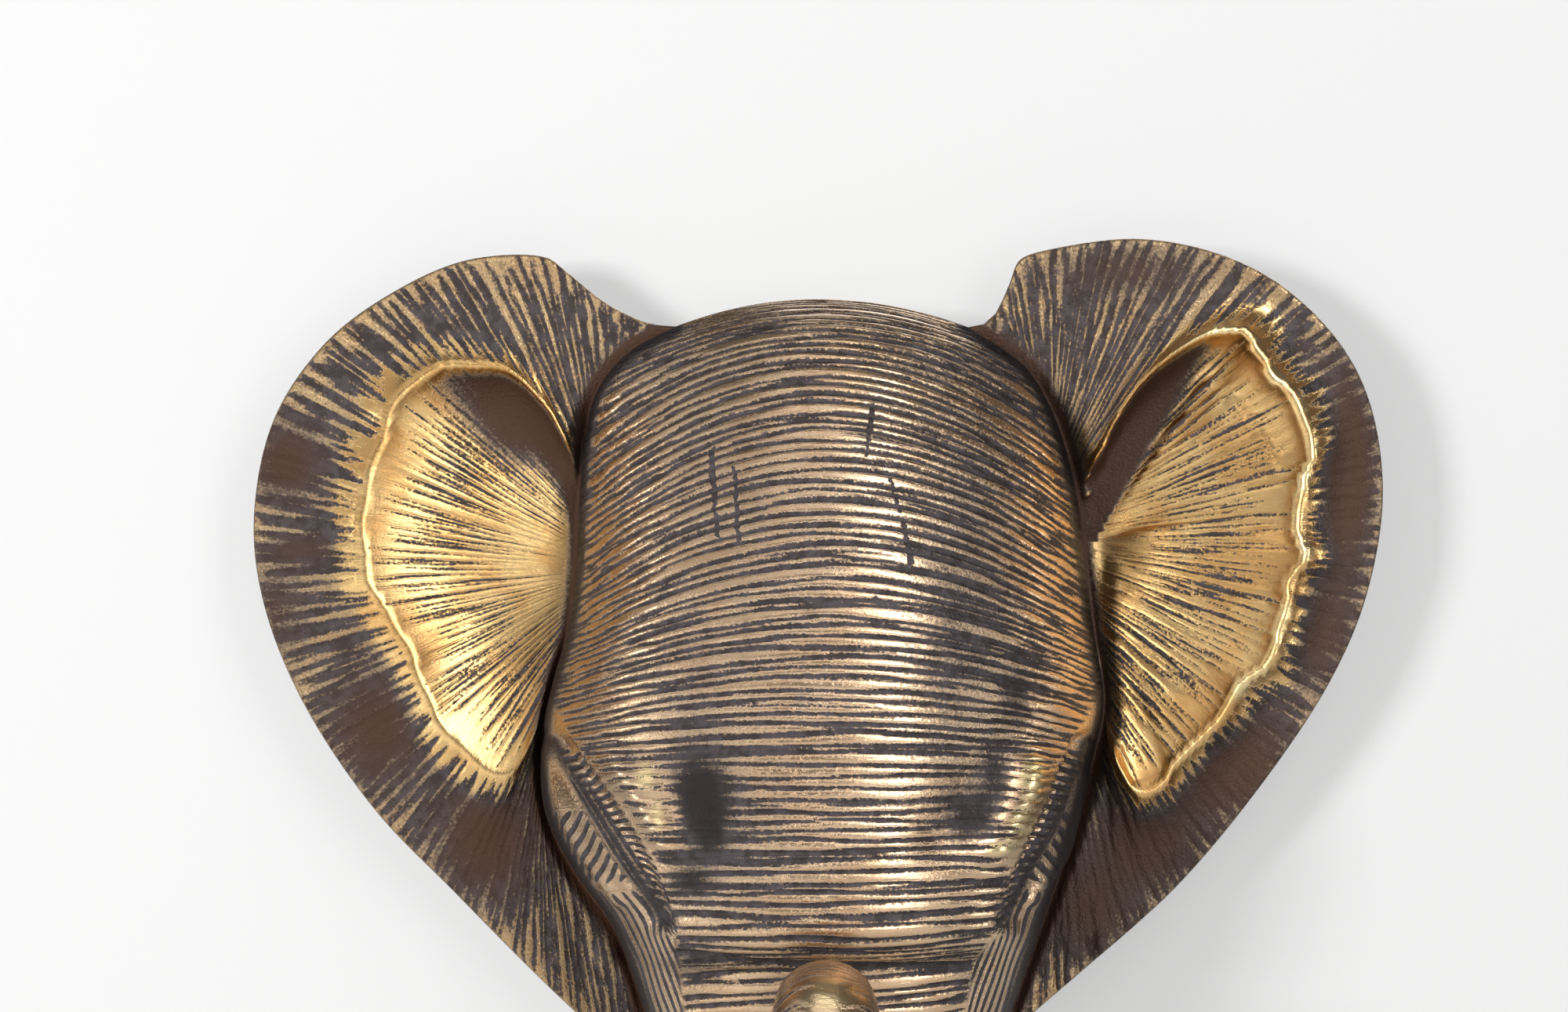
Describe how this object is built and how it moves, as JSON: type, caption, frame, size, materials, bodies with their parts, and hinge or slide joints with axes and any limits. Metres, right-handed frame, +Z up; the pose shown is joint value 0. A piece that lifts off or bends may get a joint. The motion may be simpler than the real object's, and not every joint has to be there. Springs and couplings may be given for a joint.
{
  "type": "elephant head wall sculpture",
  "caption": "Cast brass elephant head for a wall, with spread furrowed ears, an up-curled trunk that serves as a hook, and a hollow back with a hanging bar.",
  "frame": {"origin": "middle of the hanging bar's back face, 2 mm in front of the wall", "axes": "+Y into the wall, +Z up, +X to the viewer's right"},
  "size_m": [0.2886, 0.1367, 0.2898],
  "materials": {
    "aged_brass": "polished on the crests, dark brown to blue-black patina in the grooves"
  },
  "bodies": {
    "root": {"elephant_head": "aged_brass"}
  },
  "joints": []
}
